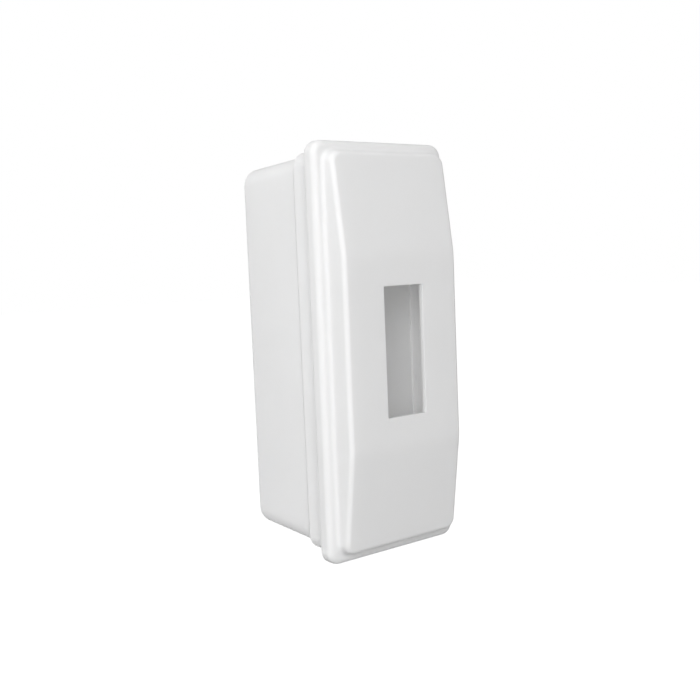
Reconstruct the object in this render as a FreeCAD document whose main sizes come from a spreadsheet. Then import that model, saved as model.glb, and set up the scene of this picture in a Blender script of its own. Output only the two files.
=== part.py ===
import FreeCAD, Part
import math
import os

import Sketcher

# A surface-mounted enclosure for one modular circuit breaker: a deep tapered box on the wall, a clip-on
# front cover with a raised, bevelled hood and an 18 x 46 mm device window, and inside a short top-hat
# rail, an earth terminal above it and a neutral terminal below it.
#
# Frame: the origin is the middle of the back face, on the wall. +Z is up and the front looks along -Y.
# A "stand" is a distance from the wall, so the point at stand d has Y = -d.

doc = FreeCAD.newDocument("BreakerEnclosure")
sheet = doc.addObject("Spreadsheet::Sheet", "Sizes")

DIMENSIONS = (
    # front cover
    ("cover_width", 60.2),
    ("cover_height", 146.7),
    ("rim_depth", 5.3),
    ("rim_edge_radius", 2.2),
    ("rim_corner_radius", 4.9),
    ("hood_width", 52.5),
    ("hood_height", 139.1),
    ("hood_end_rise", 4.5),
    ("hood_middle_rise", 9.3),
    ("hood_flat_half", 33.8),
    ("hood_edge_radius", 1.7),
    ("hood_corner_radius", 4.1),
    ("hood_bend_radius", 12.0),
    ("hood_foot_radius", 1.5),
    ("cover_wall", 1.8),
    ("hood_end_wall", 3.4),
    ("window_width", 18.0),
    ("window_height", 46.0),
    # snap tongues on the cover and their catches on the box
    ("tongue_offset", 12.0),
    ("tongue_width", 8.0),
    ("tongue_wall", 1.3),
    ("tongue_length", 9.1),
    ("bead_height", 0.25),
    ("bead_length", 1.8),
    ("catch_width", 10.0),
    ("catch_height", 0.7),
    ("catch_length", 1.4),
    ("catch_stand", 44.4),
    # box
    ("box_depth", 47.0),
    ("mouth_width", 53.6),
    ("mouth_height", 140.1),
    ("side_taper", 2.5),
    ("end_taper", 2.5),
    ("box_corner_radius", 5.0),
    ("inner_corner_radius", 3.2),
    ("box_back_radius", 3.0),
    ("box_wall", 1.8),
    ("back_wall", 2.2),
    ("collar_step", 0.47),
    ("collar_depth", 11.3),
    ("collar_inner_depth", 9.3),
    ("collar_lip", 3.2),
    ("collar_corner_radius", 5.5),
    ("collar_shoulder", 0.9),
    ("lap_clearance", 0.4),
    # wall fixings
    ("fixing_spacing", 116.0),
    ("fixing_slot_width", 4.5),
    ("fixing_slot_length", 8.0),
    ("fixing_pad_width", 9.0),
    ("fixing_pad_length", 10.0),
    ("fixing_pad_height", 0.8),
    # cable knock-outs
    ("end_knockout_radius", 10.0),
    ("end_knockout_stand", 23.5),
    ("back_knockout_radius", 8.0),
    ("back_knockout_height", 29.5),
    ("knockout_gap", 0.3),
    ("knockout_thickness", 1.2),
    ("knockout_recess", 0.2),
    ("nib_width", 1.5),
    ("nib_thickness", 0.6),
    # top-hat rail, 35 x 7.5 mm
    ("rail_length", 38.0),
    ("rail_width", 35.0),
    ("rail_height", 7.5),
    ("rail_sheet", 1.0),
    ("rail_channel", 25.0),
    ("rail_seat", 6.0),
    ("rail_screw_offset", 12.0),
    ("rail_boss_radius", 3.5),
    ("rail_screw_radius", 1.75),
    ("rail_head_radius", 3.3),
    ("rail_head_height", 2.2),
    # terminals
    ("terminal_height", 47.0),
    ("carrier_width", 38.0),
    ("carrier_height", 10.0),
    ("carrier_seat", 5.0),
    ("carrier_base", 3.0),
    ("cradle_wall", 1.0),
    ("cradle_height", 5.0),
    ("carrier_boss_radius", 2.6),
    ("carrier_screw_offset", 16.2),
    ("carrier_screw_radius", 1.4),
    ("carrier_head_radius", 2.2),
    ("carrier_head_height", 1.6),
    ("bar_length", 24.8),
    ("bar_height", 7.0),
    ("bar_depth", 9.0),
    ("bar_chamfer", 0.4),
    ("wire_hole_radius", 2.3),
    ("wire_hole_rise", 4.6),
    ("wire_hole_pitch", 7.8),
    ("clamp_screw_radius", 2.0),
    ("clamp_screw_clearance", 0.05),
    ("clamp_screw_gap", 0.2),
    ("clamp_screw_stroke", 2.9),
    ("clamp_head_radius", 3.2),
    ("clamp_head_height", 2.2),
    ("screw_point", 1.0),
    ("screw_slot_width", 0.9),
    ("screw_slot_depth", 1.0),
)

D = dict(DIMENSIONS)
for row, (alias, value) in enumerate(DIMENSIONS, start=1):
    sheet.set(f"A{row}", alias)
    sheet.set(f"B{row}", str(value))
    sheet.setAlias(f"B{row}", alias)
doc.recompute()

RIM_BACK = "Sizes.box_depth"
RIM_FRONT = "(Sizes.box_depth + Sizes.rim_depth)"
SHELF = "(Sizes.box_depth + Sizes.rim_depth - Sizes.cover_wall)"
LIP_FRONT = "(Sizes.box_depth + Sizes.collar_lip)"
COLLAR_WIDTH = "(Sizes.mouth_width + 2 * Sizes.collar_step)"
COLLAR_HEIGHT = "(Sizes.mouth_height + 2 * Sizes.collar_step)"
COLLAR_INNER_END = "(Sizes.mouth_height / 2 + Sizes.collar_step - Sizes.box_wall)"
BAR_BACK = "(Sizes.carrier_seat + Sizes.carrier_base)"
BAR_FRONT = "(Sizes.carrier_seat + Sizes.carrier_base + Sizes.bar_depth)"
WIRE_STAND = "(Sizes.carrier_seat + Sizes.carrier_base + Sizes.wire_hole_rise)"

subparts = []


# ---------------------------------------------------------------- drawing helpers


def new_body(label):
    """A sub-part: its label names its file."""
    body = doc.addObject("PartDesign::Body", label)
    body.Label = label
    subparts.append(body)
    return body


def new_sketch(body, role, stand=None):
    """A sketch on one of the body's own origin planes, lifted along the plane's normal."""
    sketch = body.newObject("Sketcher::SketchObject", "Sketch")
    plane = next(f for f in body.Origin.OriginFeatures if f.Role == role)
    sketch.AttachmentSupport = [(plane, "")]
    sketch.MapMode = "FlatFace"
    if stand is not None:
        sketch.setExpression("AttachmentOffset.Base.z", stand)
    return sketch


def pin_point(sketch, geometry, position, across, along):
    """Ties a point of the sketch to its coordinates, each given as an expression."""
    for kind, axis, formula in (("DistanceX", -2, across), ("DistanceY", -1, along)):
        if formula == "0":
            sketch.addConstraint(Sketcher.Constraint("PointOnObject", geometry, position, axis))
            continue
        number = sketch.addConstraint(
            Sketcher.Constraint(kind, -1, 1, geometry, position, 1.0)
        )
        name = f"{kind}_{number}"
        sketch.renameConstraint(number, name)
        sketch.setExpression(f"Constraints.{name}", formula)


def draw_polygon(sketch, points):
    """A closed outline through points given as pairs of expressions."""
    count = len(points)
    turn = 2 * math.pi / count
    rough = [FreeCAD.Vector(math.cos(turn * i), math.sin(turn * i), 0) for i in range(count)]
    for i in range(count):
        sketch.addGeometry(Part.LineSegment(rough[i], rough[(i + 1) % count]), False)
    for i in range(count):
        sketch.addConstraint(Sketcher.Constraint("Coincident", i, 2, (i + 1) % count, 1))
    for i, (across, along) in enumerate(points):
        pin_point(sketch, i, 1, across, along)


def draw_rectangle(sketch, width, height, across="0", along="0"):
    """A rectangle about a centre."""
    left = f"({across}) - ({width}) / 2"
    right = f"({across}) + ({width}) / 2"
    low = f"({along}) - ({height}) / 2"
    high = f"({along}) + ({height}) / 2"
    draw_polygon(sketch, [(left, low), (right, low), (right, high), (left, high)])


def draw_circle(sketch, radius, across="0", along="0"):
    number = sketch.addGeometry(
        Part.Circle(FreeCAD.Vector(1, 1, 0), FreeCAD.Vector(0, 0, 1), 1.0), False
    )
    pin_point(sketch, number, 3, across, along)
    ring = sketch.addConstraint(Sketcher.Constraint("Radius", number, 1.0))
    name = f"Radius_{ring}"
    sketch.renameConstraint(ring, name)
    sketch.setExpression(f"Constraints.{name}", radius)


def pad(body, sketch, length):
    feature = body.newObject("PartDesign::Pad", "Pad")
    feature.Profile = sketch
    feature.setExpression("Length", length)
    sketch.Visibility = False
    doc.recompute()
    return feature


def cut(body, sketch, length, forward=True):
    """A pocket of a set depth; forward goes along the sketch plane's normal."""
    before = body.Shape.Volume
    feature = body.newObject("PartDesign::Pocket", "Pocket")
    feature.Profile = sketch
    feature.setExpression("Length", length)
    feature.Reversed = forward
    sketch.Visibility = False
    doc.recompute()
    if body.Shape.Volume > before - 1e-3:
        raise RuntimeError(f"{body.Label}: a pocket removed nothing")
    return feature


def round_edges(body, test, radius):
    """Rounds the edges of the body that pass a test."""
    feature = body.Tip
    names = [f"Edge{i}" for i, edge in enumerate(feature.Shape.Edges, start=1) if test(edge)]
    if not names:
        raise RuntimeError(f"{body.Label}: no edge to round")
    fillet = body.newObject("PartDesign::Fillet", "Fillet")
    fillet.Base = (feature, names)
    fillet.setExpression("Radius", radius)
    doc.recompute()
    return fillet


def bevel_edges(body, test, size):
    feature = body.Tip
    names = [f"Edge{i}" for i, edge in enumerate(feature.Shape.Edges, start=1) if test(edge)]
    if not names:
        raise RuntimeError(f"{body.Label}: no edge to bevel")
    chamfer = body.newObject("PartDesign::Chamfer", "Chamfer")
    chamfer.Base = (feature, names)
    chamfer.setExpression("Size", size)
    doc.recompute()
    return chamfer


def place(body, across, along):
    """Moves a body drawn about the Y axis to its place across (X) and along (Z)."""
    body.setExpression("Placement.Base.x", across)
    body.setExpression("Placement.Base.z", along)


# ---------------------------------------------------------------- edge tests


def ends(edge):
    return edge.Vertexes[0].Point, edge.Vertexes[-1].Point


def runs_along(axis, slack=0.08):
    """True for a straight edge within a few degrees of a direction."""

    def test(edge):
        first, last = ends(edge)
        line = last - first
        if line.Length < 1e-6 or edge.Length > line.Length + 1e-6:
            return False
        return (line.normalize() - axis * line.dot(axis)).Length < slack

    return test


def at_stand(stand, slack=0.02):
    """True for an edge that lies in the plane at one stand."""

    def test(edge):
        box = edge.BoundBox
        return abs(box.YMin + stand) < slack and abs(box.YMax + stand) < slack

    return test


X_AXIS = FreeCAD.Vector(1, 0, 0)
Y_AXIS = FreeCAD.Vector(0, 1, 0)


# ---------------------------------------------------------------- front cover


def cover_hood(body):
    """The raised front: flat in the middle, bevelled back towards both ends."""
    profile = new_sketch(body, "YZ_Plane", "-Sizes.hood_width / 2")
    end = f"-({RIM_FRONT} + Sizes.hood_end_rise)"
    middle = f"-({RIM_FRONT} + Sizes.hood_middle_rise)"
    foot = f"-({RIM_FRONT} - 0.5)"
    draw_polygon(
        profile,
        [
            (foot, "-Sizes.hood_height / 2"),
            (foot, "Sizes.hood_height / 2"),
            (end, "Sizes.hood_height / 2"),
            (middle, "Sizes.hood_flat_half"),
            (middle, "-Sizes.hood_flat_half"),
            (end, "-Sizes.hood_height / 2"),
        ],
    )
    pad(body, profile, "Sizes.hood_width")
    front = D["box_depth"] + D["rim_depth"]

    def is_corner(edge):
        return runs_along(Y_AXIS)(edge) and abs(edge.CenterOfMass.x) < D["hood_width"] / 2 + 0.1

    def is_bend(edge):
        level = abs(abs(edge.CenterOfMass.z) - D["hood_flat_half"]) < 0.1
        return runs_along(X_AXIS)(edge) and level and edge.CenterOfMass.y < -front - 5

    def is_outline(edge):
        box = edge.BoundBox
        reach = max(abs(box.XMax), abs(box.XMin)) > D["hood_width"] / 2 - 3.5
        high = max(abs(box.ZMax), abs(box.ZMin)) > D["hood_height"] / 2 - 0.5
        raised = box.YMax < -front - D["hood_end_rise"] + 1e-3
        return raised and (reach or high) and not is_bend(edge)

    def is_foot(edge):
        inside = abs(edge.CenterOfMass.x) < D["hood_width"] / 2 + 0.1
        return at_stand(front)(edge) and inside and edge.BoundBox.ZMax < D["hood_height"] / 2 + 0.1

    round_edges(body, is_corner, "Sizes.hood_corner_radius")
    round_edges(body, is_bend, "Sizes.hood_bend_radius")
    round_edges(body, is_outline, "Sizes.hood_edge_radius")
    round_edges(body, is_foot, "Sizes.hood_foot_radius")


def cover_hollows(body):
    """The recess that laps over the box's collar, the space under the hood, and the window."""
    recess = new_sketch(body, "XZ_Plane", RIM_BACK)
    width = f"({COLLAR_WIDTH} + 2 * Sizes.lap_clearance)"
    height = f"({COLLAR_HEIGHT} + 2 * Sizes.lap_clearance)"
    draw_rectangle(recess, width, height)
    cut(body, recess, "Sizes.rim_depth - Sizes.cover_wall")

    def is_recess_corner(edge):
        wide = abs(edge.CenterOfMass.x) > D["mouth_width"] / 2 + D["collar_step"]
        inside = abs(edge.CenterOfMass.x) < D["cover_width"] / 2 - 1
        return runs_along(Y_AXIS)(edge) and wide and inside and edge.Length > 3.4

    round_edges(body, is_recess_corner, "Sizes.collar_corner_radius")

    inner = new_sketch(body, "YZ_Plane", "-(Sizes.hood_width / 2 - Sizes.cover_wall)")
    end = f"-({RIM_FRONT} + Sizes.hood_end_rise - Sizes.cover_wall)"
    middle = f"-({RIM_FRONT} + Sizes.hood_middle_rise - Sizes.cover_wall)"
    mouth = f"-({SHELF} - 0.5)"
    top = "(Sizes.hood_height / 2 - Sizes.hood_end_wall)"
    draw_polygon(
        inner,
        [
            (mouth, f"-{top}"),
            (mouth, top),
            (end, top),
            (middle, "Sizes.hood_flat_half"),
            (middle, "-Sizes.hood_flat_half"),
            (end, f"-{top}"),
        ],
    )
    cut(body, inner, "Sizes.hood_width - 2 * Sizes.cover_wall")

    def is_hollow_corner(edge):
        side = abs(abs(edge.CenterOfMass.x) - D["hood_width"] / 2 + D["cover_wall"]) < 0.01
        end_of = abs(abs(edge.CenterOfMass.z) - D["hood_height"] / 2 + D["hood_end_wall"]) < 0.01
        return runs_along(Y_AXIS)(edge) and side and end_of

    round_edges(body, is_hollow_corner, "Sizes.hood_corner_radius - Sizes.cover_wall")

    window = new_sketch(body, "XZ_Plane", f"{RIM_FRONT}")
    draw_rectangle(window, "Sizes.window_width", "Sizes.window_height")
    cut(body, window, "Sizes.hood_middle_rise + 1")


def cover_tongues(body):
    """Four snap tongues, two at each end, each with a small bead near its tip."""
    face = "(Sizes.mouth_height / 2 + Sizes.collar_step - Sizes.box_wall - Sizes.catch_height)"
    outer = f"({face} - 0.55)"
    for side in ("-1", "1"):
        for end in ("-1", "1"):
            across = f"{side} * Sizes.tongue_offset"
            tongue = new_sketch(body, "XZ_Plane", f"{SHELF} - Sizes.tongue_length")
            middle = f"{end} * ({outer} - Sizes.tongue_wall / 2)"
            draw_rectangle(tongue, "Sizes.tongue_width", "Sizes.tongue_wall", across, middle)
            pad(body, tongue, "Sizes.tongue_length + 0.2")
            bead = new_sketch(body, "XZ_Plane", f"{SHELF} - Sizes.tongue_length + 0.4")
            middle = f"{end} * ({outer} + Sizes.bead_height / 2 - 0.1)"
            draw_rectangle(bead, "Sizes.tongue_width", "Sizes.bead_height + 0.2", across, middle)
            pad(body, bead, "Sizes.bead_length")


def make_front_cover():
    body = new_body("front_cover")
    rim = new_sketch(body, "XZ_Plane", RIM_BACK)
    draw_rectangle(rim, "Sizes.cover_width", "Sizes.cover_height")
    pad(body, rim, "Sizes.rim_depth")
    round_edges(body, runs_along(Y_AXIS), "Sizes.rim_corner_radius")
    round_edges(body, at_stand(D["box_depth"] + D["rim_depth"]), "Sizes.rim_edge_radius")
    cover_hood(body)
    cover_hollows(body)
    cover_tongues(body)


# ---------------------------------------------------------------- back box


def tapered_block(body, kind, outer_stand, inner_stand, inset):
    """A loft between two rectangles whose sides follow the box's taper, set in by an inset."""
    sections = []
    for stand in (inner_stand, outer_stand):
        sketch = new_sketch(body, "XZ_Plane", stand)
        part = f"(1 - ({stand}) / Sizes.box_depth)"
        width = f"(Sizes.mouth_width - 2 * Sizes.side_taper * {part} - 2 * ({inset}))"
        height = f"(Sizes.mouth_height - 2 * Sizes.end_taper * {part} - 2 * ({inset}))"
        draw_rectangle(sketch, width, height)
        sections.append(sketch)
    doc.recompute()
    feature = body.newObject(kind, "Loft")
    feature.Profile = sections[0]
    feature.Sections = [sections[1]]
    feature.Ruled = True
    doc.recompute()
    return feature


def box_shell(body):
    """The outer walls, the collar round the mouth, and the hollow."""
    tapered_block(body, "PartDesign::AdditiveLoft", RIM_BACK, "0.0001", "0")
    round_edges(body, runs_along(Y_AXIS), "Sizes.box_corner_radius")
    round_edges(body, at_stand(0.0), "Sizes.box_back_radius")

    collar = new_sketch(body, "XZ_Plane", "Sizes.box_depth - Sizes.collar_depth")
    draw_rectangle(collar, COLLAR_WIDTH, COLLAR_HEIGHT)
    pad(body, collar, "Sizes.collar_depth + Sizes.collar_lip")

    def is_collar_corner(edge):
        wide = abs(edge.CenterOfMass.x) > D["mouth_width"] / 2 + D["collar_step"] - 0.01
        return runs_along(Y_AXIS)(edge) and wide

    round_edges(body, is_collar_corner, "Sizes.collar_corner_radius")
    back = D["box_depth"] - D["collar_depth"]

    def is_shoulder(edge):
        box = edge.BoundBox
        far_x = max(abs(box.XMax), abs(box.XMin)) > D["mouth_width"] / 2 + 0.4
        far_z = max(abs(box.ZMax), abs(box.ZMin)) > D["mouth_height"] / 2 + 0.4
        return at_stand(back)(edge) and (far_x or far_z)

    bevel_edges(body, is_shoulder, "Sizes.collar_shoulder")


def box_hollow(body):
    before = body.Shape.Volume
    tapered_block(
        body, "PartDesign::SubtractiveLoft", LIP_FRONT, "Sizes.back_wall", "Sizes.box_wall"
    )
    if body.Shape.Volume > before - 1e-3:
        raise RuntimeError("the box is not hollow")
    mouth = new_sketch(body, "XZ_Plane", "Sizes.box_depth - Sizes.collar_inner_depth")
    width = f"({COLLAR_WIDTH} - 2 * Sizes.box_wall)"
    height = f"({COLLAR_HEIGHT} - 2 * Sizes.box_wall)"
    draw_rectangle(mouth, width, height)
    cut(body, mouth, "Sizes.collar_inner_depth + Sizes.collar_lip + 1")

    def is_inner_corner(edge):
        inside_x = abs(edge.CenterOfMass.x) < D["mouth_width"] / 2 - D["box_wall"] + 1.1
        inside_z = abs(edge.CenterOfMass.z) < D["mouth_height"] / 2 - D["box_wall"] + 1.1
        return runs_along(Y_AXIS)(edge) and inside_x and inside_z and edge.Length > 5

    round_edges(body, is_inner_corner, "Sizes.inner_corner_radius")


def box_catches(body):
    """Four low ridges inside the collar, which the tongues' beads snap behind."""
    for side in ("-1", "1"):
        for end in ("-1", "1"):
            ridge = new_sketch(body, "XZ_Plane", "Sizes.catch_stand")
            across = f"{side} * Sizes.tongue_offset"
            middle = f"{end} * ({COLLAR_INNER_END} - Sizes.catch_height / 2 + 0.1)"
            draw_rectangle(ridge, "Sizes.catch_width", "Sizes.catch_height + 0.2", across, middle)
            pad(body, ridge, "Sizes.catch_length")


def box_bosses(body):
    """Pads and bosses that stand on the inside of the back wall, with their screw holes."""
    inside = "Sizes.back_wall - 0.5"
    for end in ("-1", "1"):
        pads = new_sketch(body, "XZ_Plane", inside)
        along = f"{end} * Sizes.fixing_spacing / 2"
        draw_rectangle(pads, "Sizes.fixing_pad_width", "Sizes.fixing_pad_length", "0", along)
        pad(body, pads, "Sizes.fixing_pad_height + 0.5")
    for side in ("-1", "1"):
        across = f"{side} * Sizes.rail_screw_offset"
        boss = new_sketch(body, "XZ_Plane", inside)
        draw_circle(boss, "Sizes.rail_boss_radius", across)
        pad(body, boss, f"Sizes.rail_seat - ({inside})")
        hole = new_sketch(body, "XZ_Plane", "Sizes.screw_point")
        draw_circle(hole, "Sizes.rail_screw_radius", across)
        cut(body, hole, "Sizes.rail_seat")
        for end in ("-1", "1"):
            across = f"{side} * Sizes.carrier_screw_offset"
            along = f"{end} * Sizes.terminal_height"
            boss = new_sketch(body, "XZ_Plane", inside)
            draw_circle(boss, "Sizes.carrier_boss_radius", across, along)
            pad(body, boss, f"Sizes.carrier_seat - ({inside})")
            hole = new_sketch(body, "XZ_Plane", "Sizes.screw_point")
            draw_circle(hole, "Sizes.carrier_screw_radius", across, along)
            cut(body, hole, "Sizes.carrier_seat")


def box_openings(body):
    """The two slotted wall fixings and the four knock-out holes."""
    through = "Sizes.back_wall + Sizes.fixing_pad_height + 1"
    half = "(Sizes.fixing_slot_length - Sizes.fixing_slot_width) / 2"
    for end in ("-1", "1"):
        along = f"{end} * Sizes.fixing_spacing / 2"
        middle = new_sketch(body, "XZ_Plane", "-0.5")
        draw_rectangle(middle, "Sizes.fixing_slot_width", f"2 * {half}", "0", along)
        cut(body, middle, through)
        for tip in ("-1", "1"):
            round_end = new_sketch(body, "XZ_Plane", "-0.5")
            draw_circle(round_end, "Sizes.fixing_slot_width / 2", "0", f"{along} + {tip} * {half}")
            cut(body, round_end, through)
        back = new_sketch(body, "XZ_Plane", "-0.5")
        draw_circle(back, "Sizes.back_knockout_radius", "0", f"{end} * Sizes.back_knockout_height")
        cut(body, back, "Sizes.back_wall + 1")
    entry = new_sketch(body, "XY_Plane", "-Sizes.mouth_height / 2 - 2")
    draw_circle(entry, "Sizes.end_knockout_radius", "0", "-Sizes.end_knockout_stand")
    cut(body, entry, "Sizes.mouth_height + 4")


def make_back_box():
    body = new_body("back_box")
    box_shell(body)
    box_hollow(body)
    box_catches(body)
    box_bosses(body)
    box_openings(body)


# ---------------------------------------------------------------- knock-outs


def make_knockout(label, hole_radius):
    """A blank disc drawn on the XY plane, with three nibs that hold it in its hole."""
    body = new_body(label)
    disc = new_sketch(body, "XY_Plane")
    draw_circle(disc, f"{hole_radius} - Sizes.knockout_gap")
    pad(body, disc, "Sizes.knockout_thickness")
    nib = new_sketch(body, "XY_Plane")
    draw_rectangle(nib, "2", "Sizes.nib_width", f"{hole_radius} - 0.9")
    web = pad(body, nib, "Sizes.nib_thickness")
    pattern = body.newObject("PartDesign::PolarPattern", "PolarPattern")
    pattern.Originals = [web]
    pattern.Axis = (next(f for f in body.Origin.OriginFeatures if f.Role == "Z_Axis"), [""])
    pattern.Angle = 360
    pattern.Occurrences = 3
    body.Tip = pattern
    doc.recompute()
    return body


def make_end_knockouts():
    """The top and bottom cable entries; the blanks lie flush in the tapered end walls."""
    tilt = math.degrees(math.atan(D["end_taper"] / D["box_depth"]))
    for label, sign in (("knockout_top", 1), ("knockout_bottom", -1)):
        body = make_knockout(label, "Sizes.end_knockout_radius")
        part = "(1 - Sizes.end_knockout_stand / Sizes.box_depth)"
        half = f"(Sizes.mouth_height / 2 - Sizes.end_taper * {part})"
        turn = FreeCAD.Rotation(X_AXIS, -tilt if sign > 0 else 180 + tilt)
        body.Placement = FreeCAD.Placement(FreeCAD.Vector(0, 0, 0), turn)
        body.setExpression("Placement.Base.y", "-Sizes.end_knockout_stand")
        inner = f"({half} - Sizes.knockout_recess - Sizes.knockout_thickness)"
        body.setExpression("Placement.Base.z", f"{sign} * {inner}")


def make_back_knockouts():
    """The two cable entries in the back wall, above and below the rail."""
    for label, sign in (("knockout_back_upper", 1), ("knockout_back_lower", -1)):
        body = make_knockout(label, "Sizes.back_knockout_radius")
        turn = FreeCAD.Rotation(X_AXIS, -90)
        body.Placement = FreeCAD.Placement(FreeCAD.Vector(0, 0, 0), turn)
        body.setExpression("Placement.Base.y", "-(Sizes.knockout_thickness + Sizes.knockout_recess)")
        body.setExpression("Placement.Base.z", f"{sign} * Sizes.back_knockout_height")


# ---------------------------------------------------------------- rail and screws


def make_din_rail():
    """A short length of 35 x 7.5 mm top-hat rail, which lies across the box."""
    body = new_body("din_rail")
    profile = new_sketch(body, "YZ_Plane", "-Sizes.rail_length / 2")
    back = "-Sizes.rail_seat"
    web = "-(Sizes.rail_seat + Sizes.rail_sheet)"
    under = "-(Sizes.rail_seat + Sizes.rail_height - Sizes.rail_sheet)"
    front = "-(Sizes.rail_seat + Sizes.rail_height)"
    inner = "Sizes.rail_channel / 2"
    outer = "(Sizes.rail_channel / 2 + Sizes.rail_sheet)"
    edge = "Sizes.rail_width / 2"
    draw_polygon(
        profile,
        [
            (back, f"-{outer}"),
            (back, outer),
            (under, outer),
            (under, edge),
            (front, edge),
            (front, inner),
            (web, inner),
            (web, f"-{inner}"),
            (front, f"-{inner}"),
            (front, f"-{edge}"),
            (under, f"-{edge}"),
            (under, f"-{outer}"),
        ],
    )
    pad(body, profile, "Sizes.rail_length")
    for side in ("-1", "1"):
        hole = new_sketch(body, "XZ_Plane", "Sizes.rail_seat - 0.5")
        draw_circle(hole, "Sizes.rail_screw_radius + 0.25", f"{side} * Sizes.rail_screw_offset")
        cut(body, hole, "Sizes.rail_sheet + 1")


def make_screw(label, shank, tip, under_head, head, head_height, across, along):
    """A slotted pan-head screw along Y: its tip and the underside of its head are stands."""
    body = new_body(label)
    core = new_sketch(body, "XZ_Plane", tip)
    draw_circle(core, shank)
    pad(body, core, f"({under_head}) - ({tip}) + 0.1")
    cap = new_sketch(body, "XZ_Plane", under_head)
    draw_circle(cap, head)
    pad(body, cap, head_height)

    def is_crown(edge):
        return edge.BoundBox.YMax < body.Shape.BoundBox.YMin + 0.01

    round_edges(body, is_crown, f"0.3 * ({head_height})")
    slot = new_sketch(body, "XZ_Plane", f"({under_head}) + ({head_height}) - Sizes.screw_slot_depth")
    draw_rectangle(slot, f"2.2 * ({head})", "Sizes.screw_slot_width")
    cut(body, slot, "Sizes.screw_slot_depth + 1")
    place(body, across, along)


def make_rail_screws():
    for label, side in (("rail_screw_left", "-1"), ("rail_screw_right", "1")):
        make_screw(
            label,
            "Sizes.rail_screw_radius",
            "Sizes.screw_point",
            "Sizes.rail_seat + Sizes.rail_sheet",
            "Sizes.rail_head_radius",
            "Sizes.rail_head_height",
            f"{side} * Sizes.rail_screw_offset",
            "0",
        )


# ---------------------------------------------------------------- terminals


def make_carrier(label, end):
    """The insulating cradle under a terminal bar, screwed to two bosses of the box."""
    body = new_body(label)
    base = new_sketch(body, "XZ_Plane", "Sizes.carrier_seat")
    draw_rectangle(base, "Sizes.carrier_width", "Sizes.carrier_height")
    pad(body, base, "Sizes.carrier_base")
    round_edges(body, runs_along(Y_AXIS), "1.5")
    for side in ("-1", "1"):
        wall = new_sketch(body, "XZ_Plane", f"{BAR_BACK} - 0.5")
        across = f"{side} * (Sizes.bar_length + Sizes.cradle_wall) / 2"
        draw_rectangle(wall, "Sizes.cradle_wall", "Sizes.bar_height", across)
        pad(body, wall, "Sizes.cradle_height + 0.5")
        hole = new_sketch(body, "XZ_Plane", "Sizes.carrier_seat - 0.5")
        draw_circle(hole, "Sizes.carrier_screw_radius + 0.15", f"{side} * Sizes.carrier_screw_offset")
        cut(body, hole, "Sizes.carrier_base + 1")
    place(body, "0", f"{end} * Sizes.terminal_height")


def make_bar(label, end):
    """A brass terminal bar: wire holes run along Z, clamp-screw holes come from the front."""
    body = new_body(label)
    block = new_sketch(body, "XZ_Plane", BAR_BACK)
    draw_rectangle(block, "Sizes.bar_length", "Sizes.bar_height")
    pad(body, block, "Sizes.bar_depth")
    bevel_edges(body, runs_along(X_AXIS), "Sizes.bar_chamfer")
    for column in ("-1", "0", "1"):
        across = "0" if column == "0" else f"{column} * Sizes.wire_hole_pitch"
        wire = new_sketch(body, "XY_Plane", "-Sizes.bar_height / 2 - 1")
        draw_circle(wire, "Sizes.wire_hole_radius", across, f"-{WIRE_STAND}")
        cut(body, wire, "Sizes.bar_height + 2")
        screw = new_sketch(body, "XZ_Plane", WIRE_STAND)
        draw_circle(screw, "Sizes.clamp_screw_radius + Sizes.clamp_screw_clearance", across)
        cut(body, screw, "Sizes.bar_depth")
    place(body, "0", f"{end} * Sizes.terminal_height")


def make_terminal(kind, end):
    """One terminal: carrier, bar, its two fixing screws and its three clamp screws."""
    along = f"{end} * Sizes.terminal_height"
    make_carrier(f"{kind}_bar_carrier", end)
    make_bar(f"{kind}_bar", end)
    for side_name, side in (("left", "-1"), ("right", "1")):
        make_screw(
            f"{kind}_carrier_screw_{side_name}",
            "Sizes.carrier_screw_radius",
            "Sizes.screw_point",
            BAR_BACK,
            "Sizes.carrier_head_radius",
            "Sizes.carrier_head_height",
            f"{side} * Sizes.carrier_screw_offset",
            along,
        )
    for column_name, column in (("left", "-1"), ("middle", "0"), ("right", "1")):
        make_screw(
            f"{kind}_clamp_screw_{column_name}",
            "Sizes.clamp_screw_radius",
            f"{WIRE_STAND} + Sizes.wire_hole_radius + Sizes.clamp_screw_gap",
            f"{BAR_FRONT} + Sizes.clamp_screw_stroke",
            "Sizes.clamp_head_radius",
            "Sizes.clamp_head_height",
            f"{column} * Sizes.wire_hole_pitch",
            along,
        )


make_back_box()
make_front_cover()
make_end_knockouts()
make_back_knockouts()
make_din_rail()
make_rail_screws()
make_terminal("earth", "1")
make_terminal("neutral", "-1")

doc.recompute()

for item in doc.Objects:
    if "Invalid" in item.State or "Error" in item.State:
        raise RuntimeError(f"{item.Label} failed: {item.State}")

os.makedirs("parts", exist_ok=True)
for body in subparts:
    shape = body.Shape
    if shape.isNull() or not shape.isValid():
        raise RuntimeError(f"{body.Label} has no valid shape")
    if len(shape.Solids) != 1:
        raise RuntimeError(f"{body.Label} is {len(shape.Solids)} solids")
    shape.exportStep(f"parts/{body.Label}.step")
    print(f"{body.Label:30s} {shape.Volume:10.1f} mm3")
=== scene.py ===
import math

import bmesh
import bpy
from mathutils import Matrix, Vector


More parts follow.
